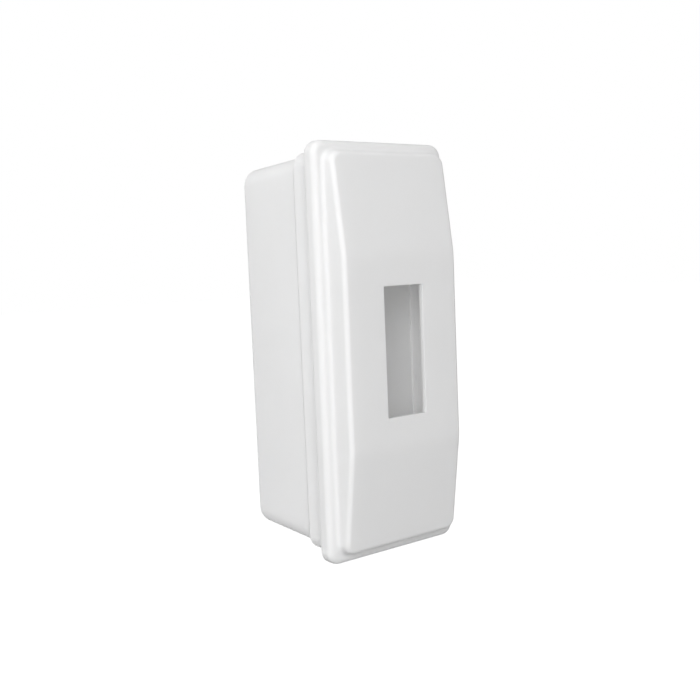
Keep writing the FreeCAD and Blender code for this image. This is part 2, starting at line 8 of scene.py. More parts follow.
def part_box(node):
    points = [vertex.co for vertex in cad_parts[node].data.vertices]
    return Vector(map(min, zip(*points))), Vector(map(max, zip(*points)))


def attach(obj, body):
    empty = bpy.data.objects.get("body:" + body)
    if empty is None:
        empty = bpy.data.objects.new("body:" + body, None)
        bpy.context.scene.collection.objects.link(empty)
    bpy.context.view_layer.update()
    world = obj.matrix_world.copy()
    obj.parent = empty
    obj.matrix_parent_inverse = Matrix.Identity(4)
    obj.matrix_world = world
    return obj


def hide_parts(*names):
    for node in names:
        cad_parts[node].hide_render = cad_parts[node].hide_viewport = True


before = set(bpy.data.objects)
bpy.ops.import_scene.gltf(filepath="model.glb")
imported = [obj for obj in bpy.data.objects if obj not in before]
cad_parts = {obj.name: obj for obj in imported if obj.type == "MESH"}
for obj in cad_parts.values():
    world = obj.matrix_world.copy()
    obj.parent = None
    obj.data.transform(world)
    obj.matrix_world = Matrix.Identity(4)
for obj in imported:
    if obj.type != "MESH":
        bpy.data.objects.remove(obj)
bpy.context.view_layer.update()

# A surface-mounted enclosure for one modular circuit breaker. The frame is the CAD's: the wall is the
# plane Y = 0, the front looks along -Y and +Z is up. Lengths below are millimetres until a mesh is
# made; a "stand" is a distance from the wall. MM turns them into metres.

MM = 0.001


def extent(node, axis):
    """The size of a CAD node along an axis, in millimetres."""
    low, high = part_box(node)
    return (high[axis] - low[axis]) / MM


def stand_range(node):
    """The nearest and farthest stand of a CAD node."""
    low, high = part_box(node)
    return -high[1] / MM, -low[1] / MM


def middle(node):
    low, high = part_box(node)
    return [(a + b) / 2 / MM for a, b in zip(low, high)]


# ---------------------------------------------------------------- driving sizes

COVER_HALF_W = extent("front_cover", 0) / 2
COVER_HALF_H = extent("front_cover", 2) / 2
COVER_FRONT = stand_range("front_cover")[1]
COVER_WALL = 1.8
HOOD_RISE = 9.3
HOOD_END_RISE = 4.5
HOOD_HALF_W = COVER_HALF_W - 3.85
HOOD_HALF_H = COVER_HALF_H - 3.8
HOOD_END_WALL = 3.4
HOOD_CORNER = 4.1
HOOD_EDGE = 1.7
HOOD_FOOT = 1.5
FLAT_HALF_H = 33.8
BEND_HALF = 2.2
RIM_DEPTH = 5.3
RIM_CORNER = 4.9
RIM_EDGE = 2.2
RIM_FRONT = COVER_FRONT - HOOD_RISE
RIM_BACK = RIM_FRONT - RIM_DEPTH
SHELF = RIM_FRONT - COVER_WALL
WINDOW_HALF_W = 9.0
WINDOW_HALF_H = 23.0

BOX_WALL = 1.8
BACK_WALL = 2.2
BOX_CORNER = 6.5
BOX_BACK_EDGE = 3.0
BOX_TAPER = 2.5
COLLAR_HALF_W = extent("back_box", 0) / 2
COLLAR_HALF_H = extent("back_box", 2) / 2
COLLAR_STEP = 0.47
INNER_CORNER = 3.2
COLLAR_CORNER = 5.5
COLLAR_BACK = RIM_BACK - 11.3
COLLAR_LEDGE = RIM_BACK - 9.3
LIP_FRONT = stand_range("back_box")[1]
LAP_CLEARANCE = 0.4
BOX_HALF_W = COLLAR_HALF_W - COLLAR_STEP
BOX_HALF_H = COLLAR_HALF_H - COLLAR_STEP
CATCH_HEIGHT = 0.7
CATCH_STAND = RIM_BACK - 2.6
TONGUE_X = 12.0
TONGUE_WIDTH = 8.0
TONGUE_LENGTH = 9.1
TONGUE_WALL = 1.3
TONGUE_GAP = 0.55
BEAD_HEIGHT = 0.25
FIXING_Z = 58.0
END_KNOCKOUT_STAND = 23.5
END_KNOCKOUT_R = 10.0
BACK_KNOCKOUT_Z = 29.5
BACK_KNOCKOUT_R = 8.0

TERMINAL_Z = abs(middle("earth_bar")[2])
CARRIER_SEAT, CARRIER_TOP = stand_range("earth_bar_carrier")
BAR_BACK, BAR_FRONT = stand_range("earth_bar")
RAIL_SEAT, RAIL_FRONT = stand_range("din_rail")
RAIL_SCREW_X = 12.0
CARRIER_SCREW_X = 16.2
CLAMP_HOLE_R = 2.05
WIRE_HOLE_R = 2.3
WIRE_PITCH = 7.8
WIRE_STAND = BAR_BACK + 4.6

ARC_STEPS = 8
X_LINES = [-20.0, -17.0, -13.0, -9.0, -4.5, 0.0, 4.5, 9.0, 13.0, 17.0, 20.0]
BEND_LINES = [FLAT_HALF_H + BEND_HALF * step / 3 for step in (-4, -3, -2, -1, 0, 1, 2, 3, 4)]
UPPER_LINES = [5.75, 11.5, 17.25, 23.0, 27.0] + BEND_LINES + [40.0, 44.0, 48.0, 52.0, 56.0, 60.0, 63.0]
Z_LINES = [-z for z in reversed(UPPER_LINES)] + [0.0] + UPPER_LINES
BOX_X_LINES = [-16.5, -11.0, -5.5, 0.0, 5.5, 11.0, 16.5]
BOX_Z_LINES = [-60.0 + 10.0 * step for step in range(13)]


def hood_front(z):
    """The stand of the hood's front at a height: flat in the middle, a soft bend, then a bevel."""
    slope = (HOOD_RISE - HOOD_END_RISE) / (HOOD_HALF_H - FLAT_HALF_H)
    past = abs(z) - FLAT_HALF_H
    if past < -BEND_HALF:
        drop = 0.0
    elif past > BEND_HALF:
        drop = slope * past
    else:
        drop = slope * (past + BEND_HALF) ** 2 / (4 * BEND_HALF)
    return COVER_FRONT - drop


def box_half(stand, inset=0.0):
    """Half width and half height of the tapered box at a stand."""
    back = 1 - stand / RIM_BACK
    return BOX_HALF_W - BOX_TAPER * back - inset, BOX_HALF_H - BOX_TAPER * back - inset


# ---------------------------------------------------------------- mesh helpers


def ring(half_w, half_h, radius, stand, x_lines=X_LINES, z_lines=Z_LINES):
    """A rounded rectangle with a point on every grid line. stand is a number or a function of z."""
    level = stand if callable(stand) else (lambda z: stand)
    flat_w = half_w - radius
    flat_h = half_h - radius
    columns = [-flat_w] + list(x_lines) + [flat_w]
    rows = [-flat_h] + list(z_lines) + [flat_h]
    quarter = [math.pi / 2 * i / ARC_STEPS for i in range(1, ARC_STEPS)]
    points = [(half_w, z) for z in rows]
    points += [(flat_w + radius * math.cos(a), flat_h + radius * math.sin(a)) for a in quarter]
    points += [(x, half_h) for x in reversed(columns)]
    points += [(-flat_w - radius * math.sin(a), flat_h + radius * math.cos(a)) for a in quarter]
    points += [(-half_w, z) for z in reversed(rows)]
    points += [(-flat_w - radius * math.cos(a), -flat_h - radius * math.sin(a)) for a in quarter]
    points += [(x, -half_h) for x in columns]
    points += [(flat_w + radius * math.sin(a), -flat_h - radius * math.cos(a)) for a in quarter]
    return [(x, -level(z), z) for x, z in points]


class Skin:
    """Collects rings and grids of points, and makes one mesh from them."""

    def __init__(self, x_lines=X_LINES, z_lines=Z_LINES):
        self.bm = bmesh.new()
        self.x_lines = list(x_lines)
        self.z_lines = list(z_lines)
        self.last = None
        self.first = None

    def add_ring(self, half_w, half_h, radius, stand):
        points = ring(half_w, half_h, radius, stand, self.x_lines, self.z_lines)
        loop = [self.bm.verts.new(Vector(p) * MM) for p in points]
        if self.last:
            self.bridge(self.last, loop)
        else:
            self.first = loop
        self.last = loop

    def bridge(self, one, other):
        count = len(one)
        for i in range(count):
            j = (i + 1) % count
            self.bm.faces.new((one[i], one[j], other[j], other[i]))

    def add_grid(self, half_w, half_h, stand, hole=None):
        """A flat grid inside the last ring. hole is (half width, half height) of an opening on grid
        lines. Returns the hole's loop of vertices."""
        level = stand if callable(stand) else (lambda z: stand)
        columns = [-half_w] + self.x_lines + [half_w]
        rows = [-half_h] + self.z_lines + [half_h]
        verts = {}
        for i, x in enumerate(columns):
            for j, z in enumerate(rows):
                inside = hole and abs(x) < hole[0] - 1e-6 and abs(z) < hole[1] - 1e-6
                if not inside:
                    verts[i, j] = self.bm.verts.new(Vector((x, -level(z), z)) * MM)
        for i in range(len(columns) - 1):
            for j in range(len(rows) - 1):
                x = (columns[i] + columns[i + 1]) / 2
                z = (rows[j] + rows[j + 1]) / 2
                if hole and abs(x) < hole[0] and abs(z) < hole[1]:
                    continue
                self.bm.faces.new((verts[i, j], verts[i + 1, j], verts[i + 1, j + 1], verts[i, j + 1]))
        self.join_grid(verts, len(columns), len(rows))
        if not hole:
            return None
        left = columns.index(-hole[0])
        right = columns.index(hole[0])
        low = rows.index(-hole[1])
        high = rows.index(hole[1])
        loop = [verts[i, low] for i in range(left, right)]
        loop += [verts[right, j] for j in range(low, high)]
        loop += [verts[i, high] for i in range(right, left, -1)]
        loop += [verts[left, j] for j in range(high, low, -1)]
        return loop

    def join_grid(self, verts, columns, rows):
        """Joins a grid's edge to the last ring: strips along the sides, fans in the corners."""
        loop = self.last
        right = [verts[columns - 1, j] for j in range(rows)]
        top = [verts[i, rows - 1] for i in range(columns - 1, -1, -1)]
        left = [verts[0, j] for j in range(rows - 1, -1, -1)]
        bottom = [verts[i, 0] for i in range(columns)]
        start = 0
        for side in (right, top, left, bottom):
            for k in range(len(side) - 1):
                a, b = loop[start + k], loop[start + k + 1]
                self.bm.faces.new((a, b, side[k + 1], side[k]))
            start += len(side) - 1
            for k in range(ARC_STEPS):
                a, b = loop[start + k], loop[(start + k + 1) % len(loop)]
                self.bm.faces.new((a, b, side[-1]))
            start += ARC_STEPS

    def make(self, name):
        bmesh.ops.recalc_face_normals(self.bm, faces=self.bm.faces)
        return mesh_object(name, self.bm)


def mesh_object(name, bm):
    mesh = bpy.data.meshes.new(name)
    bm.to_mesh(mesh)
    bm.free()
    obj = bpy.data.objects.new(name, mesh)
    bpy.context.scene.collection.objects.link(obj)
    return obj


def block(name, size, centre, bevel=0.0, segments=2):
    """A box with rounded edges: size and centre as (x, stand, z)."""
    bm = bmesh.new()
    bmesh.ops.create_cube(bm, size=1.0)
    for v in bm.verts:
        v.co = Vector((v.co.x * size[0], v.co.y * size[1], v.co.z * size[2]))
        v.co += Vector((centre[0], -centre[1], centre[2]))
        v.co *= MM
    if bevel:
        bmesh.ops.bevel(bm, geom=bm.edges[:], offset=bevel * MM, segments=segments, affect="EDGES")
    return mesh_object(name, bm)


def lathe(name, profile, centre, segments=48, along="front", wave=None):
    """Turns (radius, distance) points about an axis through centre (x, stand, z). Distances go
    along the front (-Y) or up (+Z). wave(distance, angle) is added to the radius, as on a thread."""
    bm = bmesh.new()
    rings = []
    for radius, distance in profile:
        if radius <= 0:
            rings.append([bm.verts.new(turned(0, 0, distance, centre, along))])
            continue
        loop = []
        for i in range(segments):
            angle = 2 * math.pi * i / segments
            r = radius + (wave(distance, angle) if wave else 0.0)
            spot = turned(r * math.cos(angle), r * math.sin(angle), distance, centre, along)
            loop.append(bm.verts.new(spot))
        rings.append(loop)
    for one, other in zip(rings, rings[1:]):
        for i in range(segments):
            j = (i + 1) % segments
            if len(one) == 1:
                bm.faces.new((one[0], other[i], other[j]))
            elif len(other) == 1:
                bm.faces.new((one[i], other[0], one[j]))
            else:
                bm.faces.new((one[i], other[i], other[j], one[j]))
    bmesh.ops.recalc_face_normals(bm, faces=bm.faces)
    return mesh_object(name, bm)


def turned(across, up, distance, centre, along):
    x, stand, z = centre
    if along == "front":
        return Vector((x + across, -(stand + distance), z + up)) * MM
    return Vector((x + across, -stand + up, z + distance)) * MM


def extrude_outline(name, outline, low, high, along="x"):
    """A prism: outline points are (stand, z) along x, or (x, z) along the front."""
    bm = bmesh.new()
    ends = []
    for level in (low, high):
        if along == "x":
            loop = [bm.verts.new(Vector((level, -stand, z)) * MM) for stand, z in outline]
        else:
            loop = [bm.verts.new(Vector((x, -level, z)) * MM) for x, z in outline]
        ends.append(loop)
    count = len(outline)
    for i in range(count):
        j = (i + 1) % count
        bm.faces.new((ends[0][i], ends[0][j], ends[1][j], ends[1][i]))
    bm.faces.new(ends[0])
    bm.faces.new(ends[1])
    bmesh.ops.recalc_face_normals(bm, faces=bm.faces)
    return mesh_object(name, bm)


def combine(obj, others, operation):
    """Boolean with each of the others in turn, applied; the others are removed."""
    for other in others:
        step = obj.modifiers.new("step", "BOOLEAN")
        step.operation = operation
        step.solver = "EXACT"
        step.object = other
        apply_modifiers(obj)
        bpy.data.objects.remove(other)
    return obj


def apply_modifiers(obj):
    graph = bpy.context.evaluated_depsgraph_get()
    graph.update()
    mesh = bpy.data.meshes.new_from_object(obj.evaluated_get(graph))
    obj.modifiers.clear()
    obj.data = mesh


def shade(obj, angle=32.0):
    """Smooth shading with sharp edges above an angle, and flat faces kept flat."""
    bm = bmesh.new()
    bm.from_mesh(obj.data)
    for face in bm.faces:
        face.smooth = True
    for edge in bm.edges:
        edge.smooth = edge.is_manifold and edge.calc_face_angle(0.0) < math.radians(angle)
    bm.to_mesh(obj.data)
    bm.free()
    weights = obj.modifiers.new("weights", "WEIGHTED_NORMAL")
    weights.keep_sharp = True


def finish_piece(obj, material, body, slot, *nodes):
    obj.data.materials.clear()
    obj.data.materials.append(material)
    shade(obj)
    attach(obj, body)
    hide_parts(*nodes)


# ---------------------------------------------------------------- materials


def new_material(name):
    material = bpy.data.materials.new(name)
    material.use_nodes = True
    tree = material.node_tree
    shader = tree.nodes["Principled BSDF"]
    return material, tree, shader


def coordinates(tree, stretch=(1, 1, 1)):
    source = tree.nodes.new("ShaderNodeTexCoord")
    scale = tree.nodes.new("ShaderNodeMapping")
    scale.inputs["Scale"].default_value = stretch
    tree.links.new(source.outputs["Object"], scale.inputs["Vector"])
    return scale.outputs["Vector"]


def noise(tree, vector, scale, detail=3.0, roughness=0.5):
    node = tree.nodes.new("ShaderNodeTexNoise")
    node.inputs["Scale"].default_value = scale
    node.inputs["Detail"].default_value = detail
    node.inputs["Roughness"].default_value = roughness
    tree.links.new(vector, node.inputs["Vector"])
    return node.outputs["Fac"]


def ramp(tree, value, low, high, start=0.3, end=0.7):
    """Maps a noise value between two colours or two greys."""
    node = tree.nodes.new("ShaderNodeValToRGB")
    node.color_ramp.elements[0].position = start
    node.color_ramp.elements[1].position = end
    for element, colour in zip(node.color_ramp.elements, (low, high)):
        element.color = (*colour, 1) if isinstance(colour, tuple) else (colour, colour, colour, 1)
    tree.links.new(value, node.inputs["Fac"])
    return node.outputs["Color"]


def bump(tree, height, distance, strength, below=None):
    node = tree.nodes.new("ShaderNodeBump")
    node.inputs["Distance"].default_value = distance
    node.inputs["Strength"].default_value = strength
    tree.links.new(height, node.inputs["Height"])
    if below:
        tree.links.new(below, node.inputs["Normal"])
    return node.outputs["Normal"]


def moulded_plastic(name, colour, spread, gloss, scatter, through=0.0):
    """Injection-moulded plastic: a fine spark texture, slow waviness, faint flow streaks."""
    material, tree, shader = new_material(name)
    where = coordinates(tree)
    slow = noise(tree, where, 28.0, 2.0)
    fine = noise(tree, where, 3200.0, 2.0, 0.6)
    streaks = noise(tree, coordinates(tree, (1.0, 1.0, 0.18)), 160.0, 3.0)
    low = tuple(c * (1 - spread) for c in colour)
    tint = ramp(tree, slow, low, colour)
    tree.links.new(tint, shader.inputs["Base Color"])
    tree.links.new(ramp(tree, streaks, gloss - 0.05, gloss + 0.06), shader.inputs["Roughness"])
    waves = bump(tree, slow, 0.00025, 0.25)
    grain = bump(tree, fine, 0.00001, 0.35, waves)
    tree.links.new(grain, shader.inputs["Normal"])
    shader.inputs["IOR"].default_value = 1.5
    shader.inputs["Specular IOR Level"].default_value = 0.17
    if scatter:
        shader.inputs["Subsurface Weight"].default_value = scatter
        shader.inputs["Subsurface Radius"].default_value = (1.0, 0.97, 0.92)
        shader.inputs["Subsurface Scale"].default_value = 0.004
        let_light_through(tree, shader, grain, through)
    return material


def let_light_through(tree, shader, normal, share):
    """Thin white walls pass some daylight, so the inside of the box is not dark."""
    through = tree.nodes.new("ShaderNodeBsdfTranslucent")
    mix = tree.nodes.new("ShaderNodeMixShader")
    through.inputs["Color"].default_value = (0.95, 0.95, 0.95, 1)
    mix.inputs["Fac"].default_value = share
    tree.links.new(normal, through.inputs["Normal"])
    tree.links.new(shader.outputs["BSDF"], mix.inputs[1])
    tree.links.new(through.outputs["BSDF"], mix.inputs[2])
    tree.links.new(mix.outputs["Shader"], tree.nodes["Material Output"].inputs["Surface"])


def plated_metal(name, colour, spread, gloss, brush):
    """Metal with a drawn or rolled grain along X and slight tarnish."""
    material, tree, shader = new_material(name)
    grain = noise(tree, coordinates(tree, (0.12, 1.0, 1.0)), brush, 4.0, 0.6)
    blotch = noise(tree, coordinates(tree), 220.0, 3.0)
    low = tuple(c * (1 - spread) for c in colour)
    tree.links.new(ramp(tree, blotch, low, colour), shader.inputs["Base Color"])
    tree.links.new(ramp(tree, grain, gloss - 0.08, gloss + 0.1), shader.inputs["Roughness"])
    tree.links.new(bump(tree, grain, 0.00001, 0.4), shader.inputs["Normal"])
    shader.inputs["Metallic"].default_value = 1.0
    return material


COVER_WHITE = (0.79, 0.79, 0.79)
BOX_WHITE = (0.89, 0.89, 0.89)
cover_plastic = moulded_plastic("cover_plastic", COVER_WHITE, 0.012, 0.54, scatter=0.2, through=0.20)
box_plastic = moulded_plastic("box_plastic", BOX_WHITE, 0.02, 0.50, scatter=0.2, through=0.32)
earth_plastic = moulded_plastic("earth_carrier_plastic", (0.05, 0.30, 0.10), 0.15, 0.42, 0.0)
neutral_plastic = moulded_plastic("neutral_carrier_plastic", (0.03, 0.16, 0.45), 0.15, 0.42, 0.0)
zinc = plated_metal("zinc_steel", (0.62, 0.63, 0.65), 0.2, 0.34, 900.0)
screw_zinc = plated_metal("screw_steel", (0.60, 0.60, 0.61), 0.18, 0.30, 1500.0)
yellow_zinc = plated_metal("clamp_screw_steel", (0.66, 0.58, 0.38), 0.25, 0.32, 1500.0)
brass = plated_metal("terminal_brass", (0.78, 0.58, 0.26), 0.16, 0.30, 1200.0)

# ---------------------------------------------------------------- front cover


def cover_outside(skin):
    """Rings from the rim's back edge, round its front edge and up to the hood's front edge."""
    edge = 0.4
    rim = (COVER_HALF_W, COVER_HALF_H)
    for i in range(0, 4):
        angle = math.pi / 2 * i / 3
        inset = edge * (1 - math.sin(angle))
        stand = RIM_BACK + edge * (1 - math.cos(angle))
        skin.add_ring(rim[0] - inset, rim[1] - inset, RIM_CORNER - inset, stand)
    for i in range(0, 11):
        angle = math.pi / 2 * i / 10
        inset = RIM_EDGE * (1 - math.cos(angle))
        stand = RIM_FRONT - RIM_EDGE * (1 - math.sin(angle))
        skin.add_ring(rim[0] - inset, rim[1] - inset, RIM_CORNER - inset, stand)
    hood = (HOOD_HALF_W, HOOD_HALF_H)
    for i in range(0, 7):
        angle = math.pi / 2 * i / 6
        out = HOOD_FOOT * (1 - math.sin(angle))
        stand = RIM_FRONT + HOOD_FOOT * (1 - math.cos(angle))
        skin.add_ring(hood[0] + out, hood[1] + out, HOOD_CORNER + out, stand)
    low = RIM_FRONT + HOOD_FOOT
    for part in (0.35, 0.7, 1.0):
        skin.add_ring(*hood, HOOD_CORNER, lambda z: low + (hood_front(z) - HOOD_EDGE - low) * part)
    for i in range(1, 11):
        angle = math.pi / 2 * i / 10
        inset = HOOD_EDGE * (1 - math.cos(angle))
        drop = HOOD_EDGE * (1 - math.sin(angle))
        skin.add_ring(hood[0] - inset, hood[1] - inset, HOOD_CORNER - inset, lambda z: hood_front(z) - drop)


def cover_inside(skin):
    """Rings from the underside of the front, down the hood's hollow and round the recess."""
    half_w = HOOD_HALF_W - COVER_WALL
    half_h = HOOD_HALF_H - HOOD_END_WALL
    corner = HOOD_CORNER - COVER_WALL
    fillet = 0.8
    for i in range(1, 5):
        angle = math.pi / 2 * i / 4
        inset = fillet * (1 - math.sin(angle))
        drop = COVER_WALL + fillet * (1 - math.cos(angle))
        skin.add_ring(half_w - inset, half_h - inset, corner - inset, lambda z: hood_front(z) - drop)
    for out, stand in ((0.0, 0.3), (0.1, 0.1), (0.3, 0.0)):
        skin.add_ring(half_w + out, half_h + out, corner, SHELF + stand)
    recess = (COLLAR_HALF_W + LAP_CLEARANCE, COLLAR_HALF_H + LAP_CLEARANCE)
    for inset, stand in ((0.3, SHELF), (0.08, SHELF - 0.08), (0.0, SHELF - 0.3), (0.0, RIM_BACK + 0.3)):
        skin.add_ring(recess[0] - inset, recess[1] - inset, COLLAR_CORNER - inset, stand)
    for out, stand in ((0.1, 0.1), (0.3, 0.0)):
        skin.add_ring(recess[0] + out, recess[1] + out, COLLAR_CORNER, RIM_BACK + stand)


def cover_skin():
    """One closed skin: up the outside, through the window and back along the inside."""
    skin = Skin()
    cover_outside(skin)
    window = (WINDOW_HALF_W, WINDOW_HALF_H)
    outer = skin.add_grid(HOOD_HALF_W - HOOD_CORNER, HOOD_HALF_H - HOOD_CORNER, hood_front, window)
    first = skin.first
    under = lambda z: hood_front(z) - COVER_WALL
    half_w = HOOD_HALF_W - COVER_WALL
    half_h = HOOD_HALF_H - HOOD_END_WALL
    corner = HOOD_CORNER - COVER_WALL
    skin.last = None
    skin.add_ring(half_w - 0.8, half_h - 0.8, corner - 0.8, under)
    start = skin.last
    inside = skin.add_grid(half_w - corner, half_h - corner, under, window)
    skin.bridge(outer, inside)
    skin.last = start
    cover_inside(skin)
    skin.bridge(skin.last, first)
    return skin


def cover_tongues():
    """Four tongues, two at each end, each with a small bead near its tip. As in the CAD, the beads
    clear the box's catches by a little, so that the cover can slide off as a rigid body."""
    outer = COLLAR_HALF_H - BOX_WALL - CATCH_HEIGHT - TONGUE_GAP
    tip = SHELF - TONGUE_LENGTH
    pieces = []
    for side in (-1, 1):
        for end in (-1, 1):
            middle_z = end * (outer - TONGUE_WALL / 2)
            length = SHELF + 0.15 - tip
            centre = (side * TONGUE_X, tip + length / 2, middle_z)
            pieces.append(block("tongue", (TONGUE_WIDTH, length, TONGUE_WALL), centre, 0.25, 3))
            bead = (side * TONGUE_X, tip + 1.3, end * (outer + BEAD_HEIGHT - 0.3))
            pieces.append(block("bead", (TONGUE_WIDTH, 1.8, 0.6), bead, 0.22, 3))
    return pieces


def make_cover():
    cover = cover_skin().make("cover_moulding")
    combine(cover, cover_tongues(), "UNION")
    soften_window(cover)
    finish_piece(cover, cover_plastic, "cover", "cover_plastic", "front_cover")


def soften_window(cover):
    """Breaks the sharp edges round the window, as a mould does."""
    bm = bmesh.new()
    bm.from_mesh(cover.data)
    edges = []
    for edge in bm.edges:
        mid = (edge.verts[0].co + edge.verts[1].co) / 2 / MM
        on_side = abs(abs(mid.x) - WINDOW_HALF_W) < 0.01 and abs(mid.z) < WINDOW_HALF_H + 0.01
        on_end = abs(abs(mid.z) - WINDOW_HALF_H) < 0.01 and abs(mid.x) < WINDOW_HALF_W + 0.01
        if (on_side or on_end) and edge.calc_face_angle(0.0) > 1.0:
            edges.append(edge)
    bmesh.ops.bevel(bm, geom=edges, offset=0.16 * MM, segments=2, affect="EDGES")
    bm.to_mesh(cover.data)
    bm.free()


# ---------------------------------------------------------------- back box


def box_outside(skin):
    """Rings from the rounded back edge, out along the tapered walls and over the collar's lip."""
    for i in range(1, 9):
        angle = math.pi / 2 * i / 8
        inset = BOX_BACK_EDGE * (1 - math.sin(angle))
        stand = BOX_BACK_EDGE * (1 - math.cos(angle))
        skin.add_ring(*box_half(stand, inset), BOX_CORNER - inset, stand)
    for part in (0.2, 0.4, 0.6, 0.8, 1.0):
        stand = BOX_BACK_EDGE + (COLLAR_BACK - 0.6 - BOX_BACK_EDGE) * part
        skin.add_ring(*box_half(stand), BOX_CORNER, stand)
    collar = (COLLAR_HALF_W, COLLAR_HALF_H)
    start = box_half(COLLAR_BACK - 0.6)
    for i in range(1, 11):
        rise = (1 - math.cos(math.pi * i / 10)) / 2
        stand = COLLAR_BACK - 0.6 + 2.2 * i / 10
        half = [a + (b - a) * rise for a, b in zip(start, collar)]
        skin.add_ring(*half, BOX_CORNER + (COLLAR_CORNER - BOX_CORNER) * rise, stand)
    lip = 0.5
    for i in range(0, 5):
        angle = math.pi / 2 * i / 4
        inset = lip * (1 - math.cos(angle))
        stand = LIP_FRONT - lip * (1 - math.sin(angle))
        skin.add_ring(collar[0] - inset, collar[1] - inset, COLLAR_CORNER - inset, stand)


def box_inside(skin):
    """Rings from the lip, down the collar to its ledge, and down the walls to the back."""
    inner = (COLLAR_HALF_W - BOX_WALL, COLLAR_HALF_H - BOX_WALL)
    corner = COLLAR_CORNER - BOX_WALL
    for out, stand in ((0.4, 0.0), (0.1, -0.12), (0.0, -0.5)):
        skin.add_ring(inner[0] + out, inner[1] + out, corner + out, LIP_FRONT + stand)
    for out, rise in ((0.0, 0.5), (-0.08, 0.15), (-0.3, 0.0)):
        skin.add_ring(inner[0] + out, inner[1] + out, corner + out, COLLAR_LEDGE + rise)
    corner = INNER_CORNER
    for out, drop in ((0.3, 0.0), (0.08, 0.1), (0.0, 0.4)):
        half = box_half(COLLAR_LEDGE - drop, BOX_WALL)
        skin.add_ring(half[0] + out, half[1] + out, corner, COLLAR_LEDGE - drop)
    fillet = 1.0
    low = BACK_WALL + fillet
    for part in (0.8, 0.6, 0.4, 0.2, 0.0):
        stand = low + (COLLAR_LEDGE - 0.4 - low) * part
        skin.add_ring(*box_half(stand, BOX_WALL), corner, stand)
    for i in range(1, 5):
        angle = math.pi / 2 * i / 4
        inset = fillet * (1 - math.cos(angle))
        stand = low - fillet * math.sin(angle)
        skin.add_ring(*box_half(stand, BOX_WALL + inset), corner - inset, stand)


def box_skin():
    """One closed skin: the back, the outside, and back down the inside."""
    skin = Skin(BOX_X_LINES, BOX_Z_LINES)
    half = box_half(0.0, BOX_BACK_EDGE)
    corner = BOX_CORNER - BOX_BACK_EDGE
    skin.add_ring(*half, corner, 0.0)
    start = skin.last
    skin.add_grid(half[0] - corner, half[1] - corner, 0.0)
    skin.last = start
    box_outside(skin)
    box_inside(skin)
    half = box_half(BACK_WALL, BOX_WALL + 1.0)
    corner = INNER_CORNER - 1.0
    skin.add_grid(half[0] - corner, half[1] - corner, BACK_WALL)
    return skin


def boss(radius, top, x, z):
    """A round boss on the back wall, with a soft edge at its top."""
    low = 1.2
    profile = [(0, low), (radius, low), (radius, top - 0.3)]
    profile += [(radius - 0.1, top - 0.08), (radius - 0.3, top), (0, top)]
    return lathe("boss", profile, (x, 0.0, z), 40)


def box_additions():
    """Bosses and pads on the back wall, and the catches inside the collar."""
    pieces = []
    for side in (-1, 1):
        pieces.append(boss(3.5, RAIL_SEAT, side * RAIL_SCREW_X, 0.0))
        for end in (-1, 1):
            pieces.append(boss(2.6, CARRIER_SEAT, side * CARRIER_SCREW_X, end * TERMINAL_Z))
            inner = COLLAR_HALF_H - BOX_WALL
            centre = (side * TONGUE_X, CATCH_STAND + 0.7, end * (inner - 0.25))
            pieces.append(block("catch", (10.0, 1.4, 0.9), centre, 0.2, 2))
    for end in (-1, 1):
        pieces.append(block("pad", (9.0, 1.8, 10.0), (0.0, BACK_WALL - 0.1, end * FIXING_Z), 0.25, 2))
    return pieces


def slot_outline(half_w, half_h, z):
    """An upright slot with round ends, as (x, z) points."""
    points = []
    for i in range(13):
        angle = math.pi * i / 12
        points.append((half_w * math.cos(angle), z + half_h - half_w + half_w * math.sin(angle)))
    for i in range(13):
        angle = math.pi + math.pi * i / 12
        points.append((half_w * math.cos(angle), z - half_h + half_w + half_w * math.sin(angle)))
    return points


def rod(name, radius, low, high, centre, along="front", segments=48):
    """A plain round cutter."""
    return lathe(name, [(0, low), (radius, low), (radius, high), (0, high)], centre, segments, along)


def box_cutters():
    """The wall slots, the cable entries and the screw holes."""
    pieces = []
    for end in (-1, 1):
        pieces.append(extrude_outline("slot", slot_outline(2.25, 4.0, end * FIXING_Z), -1.0, 4.0, "front"))
        centre = (0.0, 0.0, end * BACK_KNOCKOUT_Z)
        pieces.append(rod("entry", BACK_KNOCKOUT_R, -1.0, 3.2, centre, segments=64))
        low, high = sorted((end * (BOX_HALF_H - 6.0), end * (BOX_HALF_H + 2.0)))
        pieces.append(rod("entry", END_KNOCKOUT_R, low, high, (0.0, END_KNOCKOUT_STAND, 0.0), "up", 72))
    for side in (-1, 1):
        pieces.append(rod("hole", 1.75, 1.0, 8.0, (side * RAIL_SCREW_X, 0.0, 0.0), segments=24))
        for end in (-1, 1):
            centre = (side * CARRIER_SCREW_X, 0.0, end * TERMINAL_Z)
            pieces.append(rod("hole", 1.4, 1.0, 8.0, centre, segments=24))
    return pieces


def make_box():
    box = box_skin().make("box_moulding")
    combine(box, box_additions(), "UNION")
    combine(box, box_cutters(), "DIFFERENCE")
    finish_piece(box, box_plastic, "box", "box_plastic", "back_box")


# ---------------------------------------------------------------- knock-outs


def knockout_blank(name, hole_radius, thickness=1.2):
    """A break-out disc lying on its side, its outside at height = thickness, on three nibs."""
    radius = hole_radius - 0.3
    soft = 0.15
    profile = [
        (0, 0),
        (radius - soft, 0),
        (radius, soft),
        (radius, thickness - soft),
        (radius - soft, thickness),
        (radius - 1.2, thickness),
        (radius - 1.5, thickness - 0.18),
        (radius - 1.8, thickness),
        (0.9, thickness),
        (0, thickness - 0.4),
    ]
    disc = lathe(name, profile, (0.0, 0.0, 0.0), 72, "up")
    nibs = []
    for i in range(3):
        nib = block("nib", (1.1, 1.5, 0.6), (hole_radius - 0.5, 0.0, 0.3), 0.08, 2)
        nib.data.transform(Matrix.Rotation(math.radians(120 * i), 4, "Z"))
        nibs.append(nib)
    return combine(disc, nibs, "UNION")


